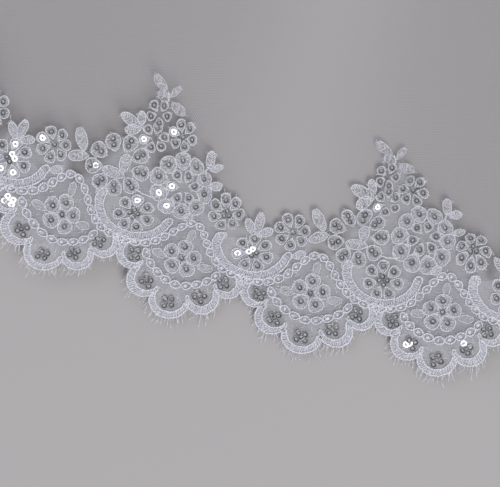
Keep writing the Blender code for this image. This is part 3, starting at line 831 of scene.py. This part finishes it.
LOBE_OVERLAP = 6.0
LASH_STEP = 0.8
LASH_WIDTH = 0.19
STRAYS_IN_SCALLOP = 70
STRAYS_IN_LOBE = 9
QUINCUNX = np.array([(0, 0), (1.5, 1.45), (-1.5, 1.45), (-1.5, -1.45), (1.5, -1.45)])
for number, (middle, span) in enumerate(zip(SCALLOP_MIDDLES, SCALLOP_SPANS)):
    draw_strays(hand.normal((middle, -13.0), (9.0, 6.0), (STRAYS_IN_SCALLOP, 2)), 1.7)
    for points, link, width in CHAINS:
        draw_chain(np.array(points) * (span, 1) + (middle, 0), link, width)
    top = curve_through(np.array(LOBE_TOP) * (span, 1) + (middle, 0), 0.8)
    centres = curve_through([(row[0] * span + middle, row[1] - 2.0) for row in LOBES], 0.8)
    draw_web(top, walk(centres, count=len(top)))
    for lobe, row in enumerate(LOBES):
        along, across, radius, out_along, out_across, out_radius, start, end, lash = row
        turn = np.radians(np.linspace(start - LOBE_OVERLAP, end + LOBE_OVERLAP, 26))
        spoke = np.stack([np.cos(turn), np.sin(turn)], axis=-1)
        inner = np.array([along * span + middle, across]) + spoke * radius
        outer_middle = np.array([out_along * span + middle, out_across])
        draw_band(outer_middle + spoke * out_radius, inner, 0.80, 0.55, 0.85)
        lobe_middle = np.array([along * span + middle, across])
        draw_web(inner, lobe_middle * (0.7, 0.7) + np.array([middle, -13.0]) * 0.3)
        draw_strays(hand.normal(lobe_middle, radius * 0.45, (STRAYS_IN_LOBE, 2)), 1.8)
        place =np.array([LOBE_SEQUINS[lobe][0] * span + middle, LOBE_SEQUINS[lobe][1]])
        lean = 0.35 * math.sin(3.1 * lobe + 2 * number)
        spin = np.array([[math.cos(lean), math.sin(lean)], [-math.sin(lean), math.cos(lean)]])
        for part, offset in enumerate(QUINCUNX @ spin):
            draw_sequins(place + offset, 200 + 30 * number + 5 * lobe + part, loose=0.22)
        count = int(np.radians(end - start - 20) * out_radius / LASH_STEP)
        turn = np.radians(np.linspace(start + 10, end - 10, count) + hand.normal(0, 2.5, count))
        spoke = np.stack([np.cos(turn), np.sin(turn)], axis=-1)
        length = lash * hand.uniform(0.35, 1.0, (count, 1))
        lean = spoke * 0.3 + np.array([0.0, -0.7]) + hand.normal(0, 0.14, (count, 2))
        curl = hand.normal(0, 0.16, (count, 2))
        root = outer_middle + spoke * (out_radius - 0.3)
        path = np.stack([root, root + lean * length * 0.5, root + (lean + curl) * length], axis=1)
        lift = np.array([0.15, -0.7, -1.5])
        draw("lashes", *cord(path, LASH_WIDTH, 0.0, lift, section=2), 300 + lobe, 1, 0.3)
print("items in a repeat:", len(items))

# %% [markdown]
# Lace is laid by hand, so no two repeats match. Slow waves move the chart by a few tenths of a millimetre,
# and bell-shaped nudges shift single flowers, as on the stretch that the camera sees.
# %% Laying by hand
# Columns: place along and across, shift along and across, and reach, in millimetres.
NUDGES = (
    (-240.0, -20.0, 2.0, -0.6, 24.0),
    (-241.0, -14.0, 1.2, -0.3, 12.0),
    (-257.0, 13.0, 1.5, 0.2, 10.0),
    (-214.0, 26.0, 0.8, -0.2, 26.0),
    (-216.0, 48.0, 1.0, -0.6, 9.0),
    (-201.0, 42.0, 1.0, -1.3, 9.0),
    (-192.5, 19.5, 2.3, -2.0, 15.0),
    (-183.0, 37.0, 0.8, -3.0, 8.0),
    (-168.6, 15.0, 1.7, -2.6, 11.0),
    (-152.0, 7.0, 0.2, -1.1, 8.0),
    (-136.0, 14.0, 1.0, -1.0, 10.0),
    (-105.5, 28.5, 0.2, -3.4, 6.5),
    (-100.5, 39.0, 1.3, -0.7, 7.0),
    (-92.5, 36.0, 0.0, -0.9, 6.0),
    (-80.0, 42.5, -1.3, 0.7, 9.0),
    (-73.0, 20.0, 0.2, 1.6, 14.0),
    (-48.0, 17.0, -0.2, 3.0, 10.0),
    (-60.0, -12.0, 0.5, 1.2, 12.0),
)
LACE_BASE = 0.0022
RIDGE_EASE = 0.16


def by_hand(along, across):
    """Chart points as laid: three waves each way, plus each nudge times a bell curve of its reach."""
    slip = 0.28 * np.sin(along / 11.3 + across / 17.0) + 0.16 * np.sin(across / 4.9 - along / 29.0)
    lift = 0.28 * np.sin(along / 8.7 - across / 23.0) + 0.16 * np.cos(across / 6.1 + along / 19.0)
    slip = slip + 0.11 * np.sin(across / 0.61 + along / 1.9)
    lift = lift + 0.11 * np.sin(along / 0.57 - across / 2.3)
    for place_along, place_across, shift_along, shift_across, reach in NUDGES:
        far = ((along - place_along) ** 2 + (across - place_across) ** 2) / reach**2
        bell = np.exp(-far)
        slip = slip + shift_along * bell
        lift = lift + shift_across * bell
    return along + slip, across + lift


def lay(along, across, lift):
    """World points for chart points: laid by hand, bent round the veil and raised over the folded net."""
    x, y = bend(*by_hand(along, across))
    z = fold_height(x, y) * (1 + RIDGE_EASE) + LACE_BASE + lift * MM
    return np.stack([x, y, z], axis=-1)


LENGTHS = {
    "lace_left": (-LACE_END, -LACE_SEAM),
    "lace_hem": (-LACE_SEAM, LACE_SEAM),
    "lace_right": (LACE_SEAM, LACE_END),
}
repeats = np.arange(-9, 10) * REPEAT + FIRST_REPEAT


def repeated(item):
    """All copies of an item down the lace, in chart millimetres, each with its own nudge."""
    chance = np.random.default_rng(item.seed)
    nudge = chance.normal(0, 1, (len(repeats), len(item.grid) // item.each, 2)) * item.loose
    nudge = np.repeat(nudge, item.each, axis=1)[:, :, None, None, :]
    grid = item.grid[None] + nudge
    grid[..., 0] += repeats[:, None, None, None]
    rise = np.broadcast_to(item.rise, grid.shape[:-1])
    chart = np.broadcast_to(item.chart, grid.shape)
    shape = (-1, *item.grid.shape[1:3])
    return grid.reshape(*shape, 2), rise.reshape(shape), chart.reshape(*shape, 2)


# %% [markdown]
# Threads and fillings are laid length by length. A copy belongs to the length that its middle lies on, and
# each kind of thread becomes one piece per length.
# %% Threads of the three lengths
END_ROOM = 3.0
KINDS = {
    "cords": white_cord,
    "rungs": rung_thread,
    "knots": knot_thread,
    "fillings": band_filling,
    "films": petal_filling,
    "webs": web_filling,
    "lashes": lash_thread,
}
for length, (low, high) in LENGTHS.items():
    low, high = max(low, END_ROOM - LACE_END), min(high, LACE_END - END_ROOM)
    for kind, finish in KINDS.items():
        grids = []
        for item in items:
            if item.kind != kind:
                continue
            grid, rise, chart = repeated(item)
            middle = grid[..., 0].mean(axis=(1, 2))
            keep = (middle > low) & (middle < high)
            if keep.any():
                points = lay(grid[keep, ..., 0], grid[keep, ..., 1], rise[keep])
                grids.append((points, chart[keep], item.closed))
        build_mesh(f"{length}_{kind}", grids, finish)

# %% [markdown]
# Sequins tilt, each its own way. Some get a painted white highlight that glows, whatever their tilt: a few
# listed places in the stretch that the camera sees, and a few percent of all the others.
# %% Sequins of the three lengths
TILT = 0.07
PAINTED_FLASH_SHARE = 0.03
VIEWED = (-276.0, -30.0)
# Columns: along, across and reach.
PAINTED_FLASHES = (
    (-217.8, 34.0, 1.9), (-204.8, 41.3, 1.9), (-200.3, 12.5, 1.9), (-194.8, 9.0, 1.9), (-196.3, 17.0, 2.2),
    (-233.3, 15.0, 2.6), (-209.3, 5.0, 1.9), (-263.3, 15.0, 1.9), (-258.3, 16.0, 1.8), (-97.3, 32.5, 1.9),
    (-151.8, 0.3, 1.5), (-157.3, -3.0, 1.9), (-261.3, -19.5, 4.2), (-73.3, -29.4, 1.6), (-47.3, -24.4, 1.6),
    (-43.8, -29.5, 1.4), (-270.5, 0.8, 2.5), (-272.0, 5.8, 1.6), (-266.8, -5.7, 1.6), (-272.8, -6.1, 1.6),
)


def gets_painted_flash(along, across, chance):
    """Which sequins get the painted highlight: those near a listed place, or outside the camera's stretch a
    chance few.
    """
    listed = np.zeros(len(along), dtype=bool)
    laid_along, laid_across = by_hand(along, across)
    for place_along, place_across, reach in PAINTED_FLASHES:
        listed |= np.hypot(laid_along - place_along, laid_across - place_across) < reach
    unseen = (along < VIEWED[0]) | (along > VIEWED[1])
    return np.where(unseen, chance < PAINTED_FLASH_SHARE, listed)


sequin_chance = np.random.default_rng(23)
for length, (low, high) in LENGTHS.items():
    low, high = max(low, END_ROOM - LACE_END), min(high, LACE_END - END_ROOM)
    grids = {"sequins": [], "flashes": []}
    for item in items:
        if item.kind != "sequins":
            continue
        grid, rise, chart = repeated(item)
        centre = grid.mean(axis=(1, 2))
        slope = sequin_chance.normal(0, TILT, (len(grid), 1, 1, 2))
        rise = rise + ((grid - centre[:, None, None]) * slope).sum(axis=-1)
        rise = rise + sequin_chance.uniform(0, 0.3, (len(grid), 1, 1))
        keep = (centre[:, 0] > low) & (centre[:, 0] < high)
        # The chosen sequins get the painted white highlight.
        bright = gets_painted_flash(centre[:, 0], centre[:, 1], sequin_chance.random(len(grid)))
        points = lay(grid[..., 0], grid[..., 1], rise)
        for kind, pick in (("sequins", keep & ~bright), ("flashes", keep & bright)):
            grids[kind].append((points[pick], chart[pick], True))
    for kind, finish in (("sequins", tint_and_painted_reflection), ("flashes", painted_flash)):
        build_mesh(f"{length}_{kind}", grids[kind], finish)

# %% [markdown]
# Under the embroidery lies the lace's own net. It is one sheet for each length: at every place along the hem
# it runs from the lobes' outer edge up to the top of the sprigs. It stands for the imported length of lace.
# %% Ground of the lace
# Circles of the motifs along the upper edge: along, across, radius.
UPPER_MOTIFS = (
    (-6.0, 12.0, 2.6), (-0.6, 14.0, 3.6), (5.0, 10.2, 2.4), (15.2, 13.6, 8.2), (26.5, 21.0, 4.2),
    (41.5, 40.0, 3.0), (47.5, 17.5, 14.0), (48.0, 42.2, 3.2), (50.0, 60.6, 2.0), (54.0, 58.4, 2.6),
    (56.3, 48.6, 6.2), (61.4, 57.0, 3.0), (67.0, 52.0, 2.4), (71.3, 42.0, 6.8), (78.6, 20.0, 14.8),
    (88.4, 37.6, 3.0), (93.6, 34.0, 2.4), (103.3, 15.8, 8.2), (112.0, 5.0, 3.4),
)
LEAST_RISE = 5.0
LEAST_DROP = -20.0
GROUND_ROWS = 24
COLUMN_STEP = 1.6
FADE_COLUMNS = 5
EASE_COLUMNS = 18
STEEPEST = 2.0


def circle_edge(along, circles, way):
    """Highest (way 1) or lowest (way -1) reach of a row of circles at places along the hem."""
    reach = np.full(along.shape, -np.inf)
    for middle, across, radius in circles:
        for shift in (-REPEAT, 0, REPEAT):
            offset = along - middle - shift
            top = way * across + np.sqrt(np.maximum(radius**2 - offset**2, 0))
            reach = np.where(np.abs(offset) < radius, np.maximum(reach, top), reach)
    return way * reach


def eased(upper, step):
    """The upper edge with no slope steeper than STEEPEST, so that the net has no long thin faces."""
    least = upper
    for column in range(-EASE_COLUMNS, EASE_COLUMNS + 1):
        least = np.minimum(least, np.roll(upper, column) + STEEPEST * step * abs(column))
    return least


def distance_inside(across, upper, step):
    """How far in each point lies from the upper edge, in millimetres: the least straight distance to the
    edge's point in its own column and in the columns beside it, which are `step` apart."""
    least = np.full(across.shape, np.inf)
    for column in range(-FADE_COLUMNS, FADE_COLUMNS + 1):
        beside = np.roll(upper, -column)[:, None]
        least = np.minimum(least, np.hypot(column * step, np.maximum(beside - across, 0)))
    return least


lobe_circles = [
    (row[3] * span + middle, row[4], row[5])
    for middle, span in zip(SCALLOP_MIDDLES, SCALLOP_SPANS)
    for row in LOBES
]
for length, (low, high) in LENGTHS.items():
    along = np.linspace(low, high, int((high - low) / COLUMN_STEP))
    place = (along - FIRST_REPEAT) % REPEAT
    lower = np.minimum(circle_edge(place, lobe_circles, -1), LEAST_DROP)
    upper = eased(np.maximum(circle_edge(place, UPPER_MOTIFS, 1), LEAST_RISE), COLUMN_STEP)
    share = np.linspace(0, 1, GROUND_ROWS)[None, :]
    across = lower[:, None] * (1 - share) + upper[:, None] * share
    spread = np.broadcast_to(along[:, None], across.shape)
    grid = lay(spread, across, 0.0)[None]
    chart = np.stack([spread, distance_inside(across, upper, COLUMN_STEP)], axis=-1)[None]
    build_mesh(f"{length}_net", [(grid, chart, False)], lace_net)
    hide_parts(length)

# %% [markdown]
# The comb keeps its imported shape, in a clear moulded plastic. White thread is wound over its spine through
# the gathered net, a half ring for each stitch.
# %% Comb
clear_plastic = Finish("clear plastic", Roughness=0.16, Transmission_Weight=0.4, IOR=1.49)
milky = clear_plastic.noise(90.0).ramp(0.3, 0.8)
clear_plastic.feed("Base Color", clear_plastic.blend(milky, (0.84, 0.85, 0.87), (0.93, 0.93, 0.94)))
clear_plastic.raised(clear_plastic.noise(700.0), 0.06, 0.0001)
comb_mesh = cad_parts["comb"].data
comb_mesh.materials.clear()
comb_mesh.materials.append(clear_plastic.material)

STITCHES = 34
STITCH_SLANT = 0.0011
BINDING_WIDTH = 0.0006
STITCH_TOP = 0.0042


def stitch_grid():
    """Half rings over the spine: along the ring the thread goes over it, across the ring it is half round."""
    middle = np.linspace(-0.5, 0.5, STITCHES)[:, None, None] * (2 * GATHER_HALF_WIDTH - 0.004)
    over = np.linspace(0, np.pi, 13)[None, :, None]
    round_it = np.linspace(0, np.pi, 5)[None, None, :]
    x = middle + STITCH_SLANT * np.cos(over) + BINDING_WIDTH / 2 * np.cos(round_it)
    reach = 1 + BINDING_WIDTH / 2 / STITCH_TOP * np.sin(round_it)
    y = FAN_Y + COMB_LINE + (COMB_SPINE / 2 + 0.0007) * np.cos(over) * reach
    z = STITCH_TOP * np.sin(over) ** 0.5 * reach
    x, y, z = np.broadcast_arrays(x, y, z)
    chart = np.stack(np.broadcast_arrays(over * 4.0, round_it / np.pi), axis=-1)
    return np.stack([x, y, z], axis=-1), np.broadcast_to(chart, (*x.shape, 2))


binding = build_mesh("comb_binding", [(*stitch_grid(), False)], white_cord)

# %% [markdown]
# The table is a plain pale floor. The key light comes from the lower right of the picture and fairly low, so
# the lace throws soft shadows to its upper left. The space above stays dim, like the room whose reflection
# is painted into the sequins' grey.
# %% Floor and light
FLOOR_HALF = 4.0
floor_finish = Finish("pale floor", Base_Color=(0.475, 0.460, 0.468, 1.0), Roughness=0.8)
corners = [(side * FLOOR_HALF, end * FLOOR_HALF, 0) for side, end in ((-1, -1), (1, -1), (1, 1), (-1, 1))]
floor_mesh = bpy.data.meshes.new("floor")
floor_mesh.from_pydata(corners, [], [(0, 1, 2, 3)])
floor_mesh.materials.append(floor_finish.material)
floor = bpy.data.objects.new("floor", floor_mesh)
bpy.context.scene.collection.objects.link(floor)


def area_light(name, azimuth, elevation, distance, size, power, colour):
    """A square light seen from the picture's middle at an azimuth and elevation in degrees."""
    data = bpy.data.lights.new(name, "AREA")
    data.size = size
    data.energy = power
    data.color = colour
    light = bpy.data.objects.new(name, data)
    azimuth, elevation = math.radians(azimuth), math.radians(elevation)
    flat = distance * math.cos(elevation)
    x = view_x + flat * math.cos(azimuth)
    y = view_y + flat * math.sin(azimuth)
    light.location = (x, y, distance * math.sin(elevation))
    light.rotation_euler = (math.pi / 2 - elevation, 0, azimuth + math.pi / 2)
    bpy.context.scene.collection.objects.link(light)


area_light("key light", -62, 48, 4.6, 2.2, 114, (1.0, 0.99, 0.98))
area_light("fill light", 140, 30, 3.4, 2.0, 16, (0.95, 0.97, 1.0))
studio = bpy.data.worlds.new("studio")
studio.use_nodes = True
studio.node_tree.nodes["Background"].inputs["Color"].default_value = (0.98, 0.98, 1.0, 1.0)
studio.node_tree.nodes["Background"].inputs["Strength"].default_value = 0.45
bpy.context.scene.world = studio
bpy.context.scene.view_settings.view_transform = "Standard"
